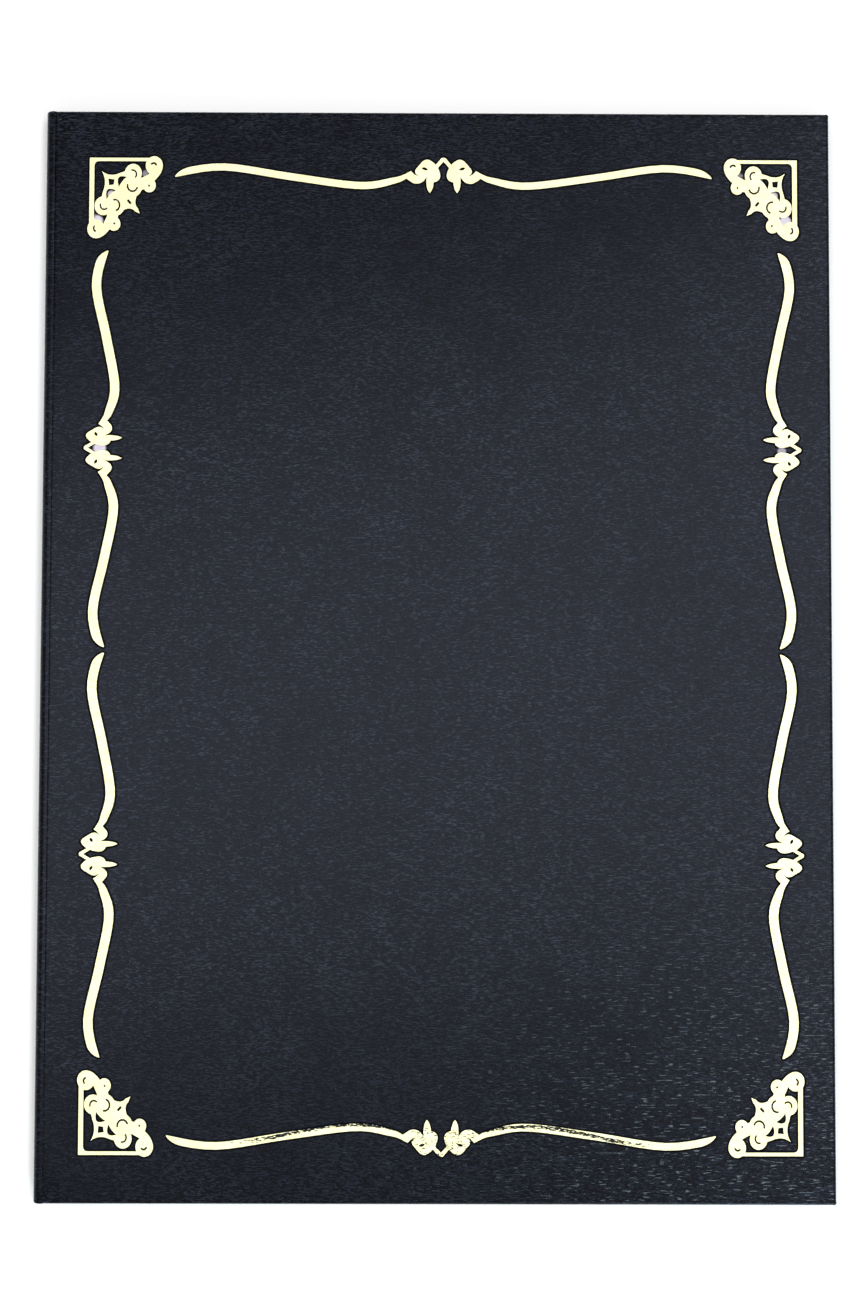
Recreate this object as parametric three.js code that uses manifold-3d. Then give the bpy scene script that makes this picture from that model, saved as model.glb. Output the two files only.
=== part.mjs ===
// Certificate holder: two boards covered in leatherette, joined by a rounded fold at the left, lying closed
// with the front cover up. Gold scrollwork is stamped on the front; inside the back cover four ribbon
// corners hold a certificate under a clear sheet.
// Millimetres, +Z up. The origin is the middle of the closed holder on its underside, +X points to the
// opening edge and +Y to the head.

import * as THREE from 'three';
import { mergeVertices } from 'three/addons/utils/BufferGeometryUtils.js';
import Module from 'manifold-3d';

const wasm = await Module();
wasm.setup();

// The certificate and the room left around it
const SHEET_WIDTH = 210;
const SHEET_HEIGHT = 297;
const SPINE_MARGIN = 7.5;
const FORE_MARGIN = 7.5;
const END_MARGIN = 6.5;

// Thicknesses of the materials
const SKIN = 0.4;
const GLUE = 0.1;
const BOARD = 1.4;
const LINING = 0.3;
const CLEAR_SHEET = 0.2;
const RIBBON = 0.2;
const FOIL = 0.1;

// Boards and their covering
const BOARD_SETBACK = 3;
const BOARD_CORNER_RADIUS = 1;
const EDGE_RADIUS = 0.9;
const TURN_IN = 15;
const LINING_LAP = 3;

// Fold at the spine
const SPINE_RADIUS = 2.2;
const FOLD_GAP = 0.3;
const SPINE_LINING_INSET = 4;

// Clearances between loose layers, and between the two closed covers
const LAY = 0.05;
const CLOSE_GAP = 0.3;

// Ribbon corners
const RIBBON_WIDTH = 12;
const RIBBON_REACH = 42;
const RIBBON_TAIL = 12;

// Stamped border: its distances from the edges of the cover, and its ornaments
const BORDER_FROM_SPINE = 12.3;
const BORDER_FROM_FORE = 8.9;
const BORDER_FROM_END = 13.2;
const CORNER_WIDTH = 21.5;
const CORNER_HEIGHT = 24;
const CORNER_SIDE_BAR = 1.35;
const CORNER_END_BAR = 1;
const CORNER_BAR_INSET = 0.4;
const CORNER_FILLET = 1.6;
const CORNER_TO_SWAG_GAP = 3.3;
const SWAG_TO_SWAG_GAP = 1.4;
const END_SWAG_STROKE = 2.05;
const SIDE_SWAG_STROKE = 2.6;
const END_SWAG_DEPTH = 10.3;
const SIDE_SWAG_DEPTH = 10.9;
const SIDE_SWAG_OUT = 0.4;

// Shares of a swag's wave: its stroke where it leaves the knot and how soon it is full, its tip and the
// length that the tip takes
const SWAG_ROOT_SHARE = 0.65;
const SWAG_ROOT_RUN_SHARE = 0.35;
const SWAG_TIP_SHARE = 0.15;
const SWAG_TIP_RUN_SHARE = 0.09;

// Facets of round stretches
const CURVE_STEPS = 6;
const DISC_STEPS = 24;
const SWAG_STEPS = 24;
const TIP_STEPS = 6;
const ROUND_STEPS = 4;

// Outer box of the closed holder
const COVER_WIDTH = SPINE_MARGIN + SHEET_WIDTH + FORE_MARGIN;
const COVER_HEIGHT = SHEET_HEIGHT + 2 * END_MARGIN;
const SPINE_X = -COVER_WIDTH / 2;
const FORE_X = COVER_WIDTH / 2;
const HEAD_Y = COVER_HEIGHT / 2;

// Levels of the layers, from the table up
const SHELL = SKIN + GLUE + BOARD + GLUE + SKIN;
const TUCK_Z = SHELL + LAY;
const BACK_LINING_Z = TUCK_Z + RIBBON + LAY;
const SHEET_Z = BACK_LINING_Z + LINING + LAY;
const BAND_Z = SHEET_Z + CLEAR_SHEET + LAY;
const FRONT_INSIDE_Z = BAND_Z + RIBBON + CLOSE_GAP;
const FRONT_FACE_Z = FRONT_INSIDE_Z + LINING + GLUE + SHELL;
const THICKNESS = FRONT_FACE_Z + FOIL;

// Places across the cover
const BOARD_LEFT = SPINE_X + BOARD_SETBACK;
const BOARD_RIGHT = FORE_X - SKIN - GLUE;
const BOARD_TOP = HEAD_Y - SKIN - GLUE;
const FOLD_X = SPINE_X + SPINE_RADIUS + FOLD_GAP;
const SHEET_LEFT = SPINE_X + SPINE_MARGIN;
const SHEET_RIGHT = FORE_X - FORE_MARGIN;
const SHEET_TOP = SHEET_HEIGHT / 2;
const LINING_LEFT = SHEET_LEFT - LINING_LAP;
const LINING_RIGHT = SHEET_RIGHT + LINING_LAP;
const LINING_TOP = SHEET_TOP + LINING_LAP;

// A cutter reaches this far past the face that it opens
const PAST = 1;

const leatherette = new THREE.MeshStandardMaterial({ color: 0x23252d, roughness: 0.5, metalness: 0 });
const greyBoard = new THREE.MeshStandardMaterial({ color: 0x8c867b, roughness: 0.95, metalness: 0 });
const liningPaper = new THREE.MeshStandardMaterial({ color: 0xe9e2d0, roughness: 0.7, metalness: 0 });
const satin = new THREE.MeshStandardMaterial({ color: 0x1d2340, roughness: 0.4, metalness: 0 });
const goldFoil = new THREE.MeshStandardMaterial({ color: 0xe6c777, roughness: 0.3, metalness: 1 });
const clearFilm = new THREE.MeshStandardMaterial({
  color: 0xf4f6f6, roughness: 0.1, metalness: 0, transparent: true, opacity: 0.25,
});

// A closed geometry as a solid that can be joined and cut
function solid(geometry) {
  geometry.deleteAttribute('normal');
  geometry.deleteAttribute('uv');
  const merged = mergeVertices(geometry);
  const vertProperties = new Float32Array(merged.attributes.position.array);
  const triVerts = new Uint32Array(merged.index.array);
  return new wasm.Manifold(new wasm.Mesh({ numProp: 3, vertProperties, triVerts }));
}

// The geometry of a solid
function geometryOf(body) {
  const mesh = body.getMesh();
  const geometry = new THREE.BufferGeometry();
  geometry.setAttribute('position', new THREE.BufferAttribute(mesh.vertProperties, 3));
  geometry.setIndex(new THREE.BufferAttribute(mesh.triVerts, 1));
  geometry.computeVertexNormals();
  return geometry;
}

// A box between two corners
function box(low, high) {
  const size = high.map((value, axis) => value - low[axis]);
  const middle = high.map((value, axis) => (value + low[axis]) / 2);
  return new THREE.BoxGeometry(...size).translate(...middle);
}

// A rectangle with round corners, as an outline
function roundedRectangle(left, right, bottom, top, radius) {
  const shape = new THREE.Shape();
  shape.absarc(right - radius, top - radius, radius, 0, Math.PI / 2);
  shape.absarc(left + radius, top - radius, radius, Math.PI / 2, Math.PI);
  shape.absarc(left + radius, bottom + radius, radius, Math.PI, Math.PI * 1.5);
  shape.absarc(right - radius, bottom + radius, radius, Math.PI * 1.5, Math.PI * 2);
  return shape;
}

// A flat plate of an outline, standing on z = 0
function plate(shape, depth, curveSegments = ROUND_STEPS) {
  return new THREE.ExtrudeGeometry(shape, { depth, bevelEnabled: false, curveSegments });
}

// An outline from a start point and its stretches: [x, y] is straight, [cx, cy, x, y] a curve drawn to c
function outline(start, ...stretches) {
  const path = new THREE.Path();
  path.moveTo(...start);
  for (const stretch of stretches) {
    if (stretch.length === 2) path.lineTo(...stretch);
    else path.quadraticCurveTo(...stretch);
  }
  return path.getPoints(CURVE_STEPS);
}

function named(name, geometry, material) {
  const mesh = new THREE.Mesh(geometry, material);
  mesh.name = name;
  return mesh;
}

// The board of a cover, grown by a clearance, between two levels
function boardGeometry(grow, low, high) {
  const shape = roundedRectangle(
    BOARD_LEFT - grow, BOARD_RIGHT + grow, -BOARD_TOP - grow, BOARD_TOP + grow, BOARD_CORNER_RADIUS + grow,
  );
  return plate(shape, high - low).translate(0, 0, low);
}

// The leatherette of a cover: a sheet under the board, wrapped round three edges and turned in over it
function coverSkinGeometry() {
  const roll = Math.min(EDGE_RADIUS, SHELL / 2 - GLUE);
  const grown = SKIN + GLUE - roll;
  const outer = roundedRectangle(
    SPINE_X, BOARD_RIGHT + grown, -BOARD_TOP - grown, BOARD_TOP + grown, BOARD_CORNER_RADIUS + grown,
  );
  const slab = new THREE.ExtrudeGeometry(outer, {
    depth: SHELL - 2 * roll,
    bevelThickness: roll,
    bevelSize: roll,
    bevelSegments: ROUND_STEPS,
    curveSegments: ROUND_STEPS,
  }).translate(0, 0, roll);
  const beyond = SPINE_X - EDGE_RADIUS - PAST;
  const spineSide = box([beyond, -HEAD_Y - PAST, -PAST], [FOLD_X, HEAD_Y + PAST, SHELL + PAST]);
  const gutter = box([beyond, -HEAD_Y - PAST, SKIN], [BOARD_LEFT, HEAD_Y + PAST, SHELL + PAST]);
  const window = box(
    [BOARD_LEFT - GLUE, TURN_IN - HEAD_Y, SHELL - SKIN - GLUE],
    [FORE_X - TURN_IN, HEAD_Y - TURN_IN, SHELL + PAST],
  );
  const body = solid(slab)
    .subtract(solid(spineSide))
    .subtract(solid(gutter))
    .subtract(solid(boardGeometry(GLUE, SKIN, SHELL - SKIN)))
    .subtract(solid(window));
  return geometryOf(body);
}

// The rounded fold: a strip bent to a channel, extruded along the spine
function spineSkinGeometry() {
  const inner = SPINE_RADIUS - SKIN;
  const high = THICKNESS - SPINE_RADIUS;
  const end = SPINE_X + SPINE_RADIUS;
  const section = new THREE.Shape();
  section.absarc(end, high, SPINE_RADIUS, Math.PI / 2, Math.PI);
  section.absarc(end, SPINE_RADIUS, SPINE_RADIUS, Math.PI, Math.PI * 1.5);
  section.absarc(end, SPINE_RADIUS, inner, Math.PI * 1.5, Math.PI, true);
  section.absarc(end, high, inner, Math.PI, Math.PI / 2, true);
  return plate(section, COVER_HEIGHT, 2 * ROUND_STEPS).rotateX(Math.PI / 2).translate(0, HEAD_Y, 0);
}

function spineLiningGeometry() {
  const left = SPINE_X + SKIN + GLUE;
  const top = HEAD_Y - SPINE_LINING_INSET;
  return box([left, -top, SPINE_RADIUS], [left + LINING, top, THICKNESS - SPINE_RADIUS]);
}

function liningGeometry(low) {
  return box([LINING_LEFT, -LINING_TOP, low], [LINING_RIGHT, LINING_TOP, low + LINING]);
}

function clearSheetGeometry() {
  return box([SHEET_LEFT, -SHEET_TOP, SHEET_Z], [SHEET_RIGHT, SHEET_TOP, SHEET_Z + CLEAR_SHEET]);
}

// A ribbon across one corner of the back lining, wrapped over both edges and tucked under it.
// toFore and toHead are 1 or -1 and choose the corner.
function ribbonGeometry(toFore, toHead) {
  const cornerX = toFore > 0 ? LINING_RIGHT : LINING_LEFT;
  const along = RIBBON_WIDTH / Math.SQRT2;
  const near = RIBBON_REACH - along;
  const far = RIBBON_REACH + along;
  const over = LAY + RIBBON;
  const at = (inX, inY) => new THREE.Vector2(cornerX - toFore * inX, toHead * (LINING_TOP - inY));
  const strip = new THREE.Shape([
    at(near + over, -over), at(far + over, -over), at(-over, far + over), at(-over, near + over),
  ]);
  const lining = (grow, low, high) => solid(box(
    [LINING_LEFT - grow, -LINING_TOP - grow, low],
    [LINING_RIGHT + grow, LINING_TOP + grow, high],
  ));
  const tuckTop = TUCK_Z + RIBBON;
  const body = solid(plate(strip, BAND_Z + RIBBON - TUCK_Z).translate(0, 0, TUCK_Z))
    .subtract(lining(LAY, tuckTop, BAND_Z))
    .subtract(lining(-RIBBON_TAIL, TUCK_Z - PAST, tuckTop + LAY));
  return geometryOf(body);
}

// Corner ornament, drawn in a square with the outer corner of its bracket at 0, 0 and stretched to size.
// It is symmetric about the square's diagonal, so each feature is drawn once and mirrored.
const disc = (x, y, radius) => new THREE.EllipseCurve(x, y, radius, radius).getPoints(DISC_STEPS).slice(1);
const mirrored = (points) => points.map(({ x, y }) => new THREE.Vector2(y, x));

// The eye of a scroll: a narrow band along an arc, between two angles in degrees
function scrollEye(x, y, radius, width, from, to) {
  const [start, end] = [from, to].map(THREE.MathUtils.degToRad);
  const edge = (reach) => new THREE.EllipseCurve(x, y, reach, reach, start, end, from > to)
    .getPoints(CURVE_STEPS);
  return [...edge(radius + width / 2), ...edge(radius - width / 2).reverse()];
}

function cornerGeometry(toFore) {
  const drawn = 24;
  const scaleX = toFore * CORNER_WIDTH / drawn;
  const scaleY = CORNER_HEIGHT / drawn;
  const solidOf = (points) => {
    const placed = points.map(({ x, y }) => new THREE.Vector2(x * scaleX, -y * scaleY));
    return solid(plate(new THREE.Shape(placed), FOIL));
  };
  const sideBar = CORNER_SIDE_BAR * drawn / CORNER_WIDTH;
  const endBar = CORNER_END_BAR * drawn / CORNER_HEIGHT;
  const fillet = CORNER_FILLET * drawn / CORNER_HEIGHT;
  const outX = CORNER_BAR_INSET * drawn / CORNER_WIDTH;
  const outY = CORNER_BAR_INSET * drawn / CORNER_HEIGHT;
  const inX = outX + sideBar;
  const inY = outY + endBar;
  const bracket = outline(
    [outX, outY], [20, outY], [20, inY], [inX + fillet, inY],
    [inX, inY, inX, inY + fillet],
    [inX, 20], [outX, 20],
  );
  const endScroll = disc(21.1, 2.65, 2.75);
  const tail = outline([23.8, 3], [23.6, 5.1, 21.1, 7.1], [18.4, 8.2], [17.6, 6], [20.7, 4.5], [21.8, 3]);
  const ball = disc(19.6, 8.4, 2.05);
  const neck = outline([15, 6.4], [18.4, 6], [18.6, 9.8], [17.6, 9.1, 16.4, 10.4]);
  const barScroll = disc(14.4, 4.9, 2.75);
  const innerScroll = disc(14.2, 8.7, 3.1);
  const body = disc(11.3, 11.3, 2.7);
  const star = outline(
    [4.3, 4.3],
    [7, 6.2, 10.2, 4.8], [12.3, 4.2], [12.6, 9], [9, 12.6], [4.2, 12.3], [4.8, 10.2],
    [6.2, 7, 4.3, 4.3],
  );
  const spear = outline(
    [11, 15.8],
    [13.8, 14.4, 15.1, 16], [16.6, 16.6], [16, 15.1],
    [14.4, 13.8, 15.8, 11], [11, 11],
  );
  const starHole = outline([6.5, 6.5], [8.4, 6.7], [8.2, 8.2], [6.7, 8.4]);
  const spearHole = outline([12.4, 12.9], [12.9, 12.4], [14, 13.5], [13.5, 14]);
  const crescent = outline([9.85, 8.9], [8.3, 4.9, 12.4, 6], [10.9, 6.8, 9.85, 8.9]);
  const endEye = scrollEye(20.9, 2.8, 0.9, 0.55, -150, -10);
  const barEye = scrollEye(14.2, 5.2, 1.25, 0.5, -110, 50);
  const innerEye = scrollEye(14.2, 8.5, 1.65, 0.55, 195, 15);
  const ballEye = outline([19.1, 8.5], [19.5, 8.1], [19.9, 8.5], [19.5, 8.9]);
  const halves = [endScroll, tail, ball, neck, barScroll, innerScroll];
  const cuts = [crescent, endEye, barEye, innerEye, ballEye];
  let ornament = solidOf(bracket).add(solidOf(star)).add(solidOf(spear)).add(solidOf(body));
  for (const points of halves) {
    ornament = ornament.add(solidOf(points)).add(solidOf(mirrored(points)));
  }
  for (const points of cuts) {
    ornament = ornament.subtract(solidOf(points)).subtract(solidOf(mirrored(points)));
  }
  return geometryOf(ornament.subtract(solidOf(starHole)).subtract(solidOf(spearHole)));
}

// Swag: a knot of two scrolls under a small chevron, with a wave running out to a blunt tip on either side.
// One half is drawn from the middle outwards, with the depth measured from the border's outer line,
// and stretched to its half length and depth.

// Both edges of the wave, which ends at the drawn half length
function swagEdges(drawnHalf, stroke) {
  const wave = new THREE.SplineCurve([
    new THREE.Vector2(10.8, 5.5),
    new THREE.Vector2(14, 6.7),
    new THREE.Vector2(23.8, 8.2),
    new THREE.Vector2(43, 5.75),
    new THREE.Vector2(62.5, 2.95),
    new THREE.Vector2(drawnHalf, 4.9),
  ]);
  const outer = [];
  const inner = [];
  for (let step = 0; step <= SWAG_STEPS + TIP_STEPS; step += 1) {
    const taper = Math.max(0, (step - SWAG_STEPS) / TIP_STEPS);
    const body = Math.min(1, step / SWAG_STEPS);
    const along = body + (taper - body) * SWAG_TIP_RUN_SHARE;
    const full = THREE.MathUtils.smoothstep(along, 0, SWAG_ROOT_RUN_SHARE);
    const width = stroke * THREE.MathUtils.lerp(SWAG_ROOT_SHARE, 1, full);
    const point = wave.getPoint(along);
    const tangent = wave.getTangent(along);
    const normal = new THREE.Vector2(-tangent.y, tangent.x);
    inner.push(point.clone().addScaledVector(normal, width / 2));
    outer.push(point.clone().addScaledVector(normal, width * ((1 - SWAG_TIP_SHARE) * taper ** 2 - 0.5)));
  }
  return [...outer, ...inner.reverse()];
}

function swagGeometry(halfLength, depth, stroke) {
  const drawnHalf = 76.3;
  const drawnDepth = 10.3;
  const scaleX = halfLength / drawnHalf;
  const scaleY = depth / drawnDepth;
  const chevronAndScroll = outline(
    [0, 0], [0.6, 0.15], [2.2, 2.1],
    [3.3, 0.9, 4.4, 0.6],
    [5.4, 0.5, 6.2, 1.4], [7.8, 3.3],
    [8.6, 4.6, 7, 5.4],
    [8.3, 5.2, 9.2, 3.9],
  );
  const curlAndLeaf = outline(
    [9.3, 7],
    [8.5, 7.6, 7.6, 7.6],
    [5.8, 7.6, 4.8, 5.5],
    [5.1, 9.1, 3.9, 10.3],
    [2.9, 9.3, 2.8, 7.2],
    [1.1, 6.9, 0.9, 5.4],
    [1, 4.1, 1.6, 3],
    [0, 1.15],
  );
  const eye = outline([4.4, 3.6], [5, 2.5, 6.2, 3], [5.6, 4, 4.4, 3.6]);
  const place = (points, side) => points.map(
    ({ x, y }) => new THREE.Vector2(side * x * scaleX, -y * scaleY),
  );
  const wave = swagEdges(drawnHalf, stroke * drawnDepth / depth);
  const half = [...chevronAndScroll, ...wave, ...curlAndLeaf];
  const shape = new THREE.Shape([...place(half, 1), ...place(half.slice(1, -1), -1).reverse()]);
  shape.holes.push(new THREE.Path(place(eye, 1).reverse()), new THREE.Path(place(eye, -1)));
  return plate(shape, FOIL);
}

// The stamped border: four corners, a swag at the head and the tail, and two along each side
function stampedBorder() {
  const group = new THREE.Group();
  group.position.z = FRONT_FACE_Z;
  const left = SPINE_X + BORDER_FROM_SPINE;
  const right = FORE_X - BORDER_FROM_FORE;
  const top = HEAD_Y - BORDER_FROM_END;
  const add = (name, geometry, x, y, turn) => {
    const mesh = named(name, geometry, goldFoil);
    mesh.position.set(x, y, 0);
    mesh.rotation.z = turn;
    group.add(mesh);
  };
  const spineHeadCorner = cornerGeometry(1);
  const foreHeadCorner = cornerGeometry(-1);
  add('foil_corner_head_spine', spineHeadCorner, left, top, 0);
  add('foil_corner_head_fore', foreHeadCorner, right, top, 0);
  add('foil_corner_tail_fore', spineHeadCorner, right, -top, Math.PI);
  add('foil_corner_tail_spine', foreHeadCorner, left, -top, Math.PI);

  const endHalf = (right - left) / 2 - CORNER_WIDTH - CORNER_TO_SWAG_GAP;
  const endSwag = swagGeometry(endHalf, END_SWAG_DEPTH, END_SWAG_STROKE);
  const middle = (left + right) / 2;
  add('foil_swag_head', endSwag, middle, top, 0);
  add('foil_swag_tail', endSwag, middle, -top, Math.PI);

  const sideHalf = (top - CORNER_HEIGHT - CORNER_TO_SWAG_GAP - SWAG_TO_SWAG_GAP / 2) / 2;
  const sideSwag = swagGeometry(sideHalf, SIDE_SWAG_DEPTH, SIDE_SWAG_STROKE);
  const sideMiddle = SWAG_TO_SWAG_GAP / 2 + sideHalf;
  add('foil_swag_spine_upper', sideSwag, left - SIDE_SWAG_OUT, sideMiddle, Math.PI / 2);
  add('foil_swag_spine_lower', sideSwag, left - SIDE_SWAG_OUT, -sideMiddle, Math.PI / 2);
  add('foil_swag_fore_upper', sideSwag, right + SIDE_SWAG_OUT, sideMiddle, -Math.PI / 2);
  add('foil_swag_fore_lower', sideSwag, right + SIDE_SWAG_OUT, -sideMiddle, -Math.PI / 2);
  return group;
}

// The back cover, with the lining, the clear sheet and the ribbons that hold it
function backCover() {
  const group = new THREE.Group();
  group.add(
    named('back_leatherette', coverSkinGeometry(), leatherette),
    named('back_board', boardGeometry(0, SKIN + GLUE, SKIN + GLUE + BOARD), greyBoard),
    named('back_lining', liningGeometry(BACK_LINING_Z), liningPaper),
    named('clear_sheet', clearSheetGeometry(), clearFilm),
    named('ribbon_head_spine', ribbonGeometry(-1, 1), satin),
    named('ribbon_head_fore', ribbonGeometry(1, 1), satin),
    named('ribbon_tail_spine', ribbonGeometry(-1, -1), satin),
    named('ribbon_tail_fore', ribbonGeometry(1, -1), satin),
  );
  return group;
}

function spine() {
  const group = new THREE.Group();
  group.add(
    named('spine_leatherette', spineSkinGeometry(), leatherette),
    named('spine_lining', spineLiningGeometry(), liningPaper),
  );
  return group;
}

// The front cover is made as the back one and turned over onto it
function frontCover() {
  const group = new THREE.Group();
  group.position.z = FRONT_FACE_Z;
  group.rotation.x = Math.PI;
  group.add(
    named('front_leatherette', coverSkinGeometry(), leatherette),
    named('front_board', boardGeometry(0, SKIN + GLUE, SKIN + GLUE + BOARD), greyBoard),
    named('front_lining', liningGeometry(SHELL + GLUE), liningPaper),
  );
  return group;
}

const certificateHolder = new THREE.Group();
certificateHolder.add(backCover(), spine(), frontCover(), stampedBorder());

export default certificateHolder;
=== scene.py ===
import math

import bpy
import numpy as np
from bpy.props import FloatProperty, FloatVectorProperty, PointerProperty
from mathutils import Matrix, Vector
from mathutils.geometry import delaunay_2d_cdt


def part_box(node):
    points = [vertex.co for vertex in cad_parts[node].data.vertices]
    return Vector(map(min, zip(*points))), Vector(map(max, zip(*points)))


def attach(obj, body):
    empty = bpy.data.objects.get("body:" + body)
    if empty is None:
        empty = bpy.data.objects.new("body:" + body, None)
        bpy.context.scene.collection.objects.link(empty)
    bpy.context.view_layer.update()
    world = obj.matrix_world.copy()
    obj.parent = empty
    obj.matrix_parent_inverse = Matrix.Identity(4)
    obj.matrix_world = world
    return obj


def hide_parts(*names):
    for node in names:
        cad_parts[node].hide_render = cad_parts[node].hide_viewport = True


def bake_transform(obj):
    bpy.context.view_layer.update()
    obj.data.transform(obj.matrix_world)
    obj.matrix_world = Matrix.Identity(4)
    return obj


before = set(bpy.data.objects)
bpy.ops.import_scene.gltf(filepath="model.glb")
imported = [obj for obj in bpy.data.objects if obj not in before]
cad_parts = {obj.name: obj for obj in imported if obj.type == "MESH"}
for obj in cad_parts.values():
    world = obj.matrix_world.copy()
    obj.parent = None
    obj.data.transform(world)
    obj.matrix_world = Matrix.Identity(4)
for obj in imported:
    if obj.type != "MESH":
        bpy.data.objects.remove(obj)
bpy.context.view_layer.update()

bl_info = {
    "name": "Certificate holder",
    "version": (1, 0, 0),
    "blender": (4, 5, 0),
    "location": "3D View > Sidebar > Holder",
    "description": "Dresses a leatherette certificate holder with a gold foil border",
    "category": "Object",
}

# Geometry is worked out in millimetres and scaled to metres as each mesh is made
MM = 0.001
MERGE_DIGITS = 4  # decimals to which two points of a piece agree when they are one
FOIL_NODES = sorted(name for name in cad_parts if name.startswith("foil_"))
RIBBON_NODES = sorted(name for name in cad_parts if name.startswith("ribbon_"))

# Leatherette of the covers, in millimetres
FACE_START = 1.1  # from the solid's spine side to the flat face
GROOVE_RUN = 0.75  # from the flat face on into the hinge groove
GROOVE_LEFT = 0.3  # share of the groove that is left where it is rubbed out
GROOVE_GROWS = (80, 130)  # stretch of y along which it grows to its full depth
CORNER_FILL = 0.3  # share by which the folded skin fills out a corner
SCUFF_AND_HIGHLIGHT_ZONE = (0.1, 0.9)  # distances from an edge between which the rubbing and the painted highlight fade
RIM_SPACING = 8.0  # between points round the flat face
GRID_STEP = 9.0  # between points inside it
GRID_START, GRID_END = 6, 4  # from the edges of the face to those points
SPINE_MARGIN = 0.1  # beside the spine side, kept free of points
FOIL_CLEARANCE = 3.4  # round the foil, kept free of the grid

# Relief round the stamped foil, in millimetres
PRESS_ROWS = (0.08, 0.2, 0.31)  # distances of the rows of points up the slope
PRESS_SPACING = 0.8  # between the points of a row
PRESS_MERGE = 0.05  # side of the squares that keep one point each
PRESS_FLOOR = 0.06  # width of the flat floor beside the foil
PRESS_SHADE = 0.9  # share of the slope from which the painted shade of the rim fades
PRESS_HALO = 0.25  # past the slope, where the painted shade of the rim has faded

# Gaps between scrolls where the foil left a film: x, y and radius in millimetres, and strength
FILM_SPOTS = (
    (-97.5, 123.0, 1.9, 1.0),
    (-83.8, 136.8, 1.0, 0.35),
    (-93.5, 130.8, 1.2, 0.8),
    (-92.3, 128.4, 0.8, 0.6),
    (99.8, 123.5, 1.9, 1.0),
    (96.6, 131.0, 1.2, 0.8),
    (86.9, 136.7, 1.0, 0.3),
    (-96.0, 57.5, 2.0, 1.0),
    (98.4, 57.2, 1.4, 0.55),
)

# Wave of the tail swag, which the wear of its foil follows, in millimetres
WAVE_MIDDLE = 1.7  # x of the knot
WAVE_CREST, WAVE_TROUGH = 23.8, 62.5  # from the knot along x
WAVE_RISE, WAVE_LEVEL = 2.65, -136.25  # from its middle line to the crest, and y of that line

# Layers of the spine, in millimetres
GLUE = 0.04  # between the layers of the fold
LINING_GAP = 0.05  # between the strip and the lining beside it
SKIN_LAP, SKIN_REST = 0.1, 0.35  # from the board's edge to the skin's lip, and to its flat top
SKIN_DIP = 0.3  # share of the groove that the flat top still has
SKIN_SLACK = 0.2  # extra thickness of the skin there
HOLLOW_INSET, STRIP_INSET = 0.6, 2  # by which the layers inside are shorter at head and tail
SKIN_STATIONS, INSIDE_STATIONS = 60, 30  # sections along the spine
END_SHARE = 0.2  # least share of its thickness that a rounded end keeps

# Ribbons, in millimetres
RIBBON_GAP, SHEET_GAP = 0.02, 0.05  # from the satin to the lining, and to the clear sheet
RIBBON_CROWN = 0.05  # rise of the ribbon's middle
RIBBON_RAMP = 0.5  # past the edge of the clear sheet, where the ribbon has climbed onto it

# Soft boxes: name, place, target and sides in metres, watts, tint and spin in degrees
LAMPS = (
    ("overhead", (-0.2, 0.02, 1.5), (-0.2, 0.02, 0), (1.4, 0.69), 12.3, (1, 1, 1), 9),
    ("side", (0.59, 0.08, 1.5), (0.59, 0.08, 0), (0.42, 1.2), 8, (1, 1, 1), 0),
    ("low_front", (0.35, -1.27, 0.86), (0.11, -0.14, 0), (0.38, 0.14), 8, (0.7, 0.9, 1), 0),
)
FLOOR_REACH, FLOOR_LEVEL = 30.0, -0.4 * MM

# The camera's place in metres, and the ways to its right, up and back
CAMERA_PLACE = (-0.00321, -0.02308, 0.5165)
CAMERA_AXES = ((0.99998, 0.0017, 0.0041), (-0.00432, 0.9989, 0.0468), (-0.0039, -0.0468, 0.9989))


def linear(code):
    """The linear colour of an sRGB hex code."""
    shares = [int(code[at:at + 2], 16) / 255 for at in (0, 2, 4)]
    return tuple(s / 12.92 if s <= 0.04045 else ((s + 0.055) / 1.055) ** 2.4 for s in shares)


def length(name, description, millimetres):
    return FloatProperty(
        name=name, description=description, default=millimetres * MM,
        min=0, unit="LENGTH", precision=5,
    )


def colour(name, description, code):
    return FloatVectorProperty(
        name=name, description=description, default=linear(code),
        min=0, max=1, size=3, subtype="COLOR",
    )


class HolderSizes(bpy.types.PropertyGroup):
    """Sizes that the dressed holder adds to the solids"""

    face_rise: length("Face rise", "Height of the leatherette face above the stamped foil", 0.06)
    press_depth: length("Press depth", "Depth that the stamp sinks into the leatherette", 0.14)
    press_slope: length("Press slope", "Width of the sloped rim round the stamped foil", 0.42)
    edge_roll: length("Edge roll", "Radius of the leatherette over a board edge", 0.9)
    inner_roll: length("Inner roll", "Radius of the leatherette where it turns in", 0.6)
    turn_in: length("Turn-in", "Width of leatherette folded in behind the lining", 15)
    corner: length("Corner", "Plan radius of the flat face at its corners", 0.1)
    flat_rim: length("Flat rim", "Width of the last flat strip before the face rolls over", 0.4)
    cover_skin: length("Cover skin", "Thickness of the leatherette on the covers", 0.35)
    skin: length("Folded skin", "Thickness of the doubled leatherette at the spine", 0.8)
    fold_radius: length("Fold radius", "Outer radius of the two folds of the spine", 2.2)
    groove: length("Hinge groove", "Depth of the groove between spine and board", 0.3)
    strip: length("Spine strip", "Thickness of the strip that lines the spine", 0.2)
    ribbon_width: length("Ribbon width", "Width of the corner ribbons", 12)
    ribbon_reach: length("Ribbon reach", "From a corner to its ribbon's middle, along an edge", 42)
    ribbon_tail: length("Ribbon tail", "Ribbon tucked behind the lining, square to its edge", 12)
    ribbon_thick: length("Ribbon thickness", "Thickness of the satin", 0.16)


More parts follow.
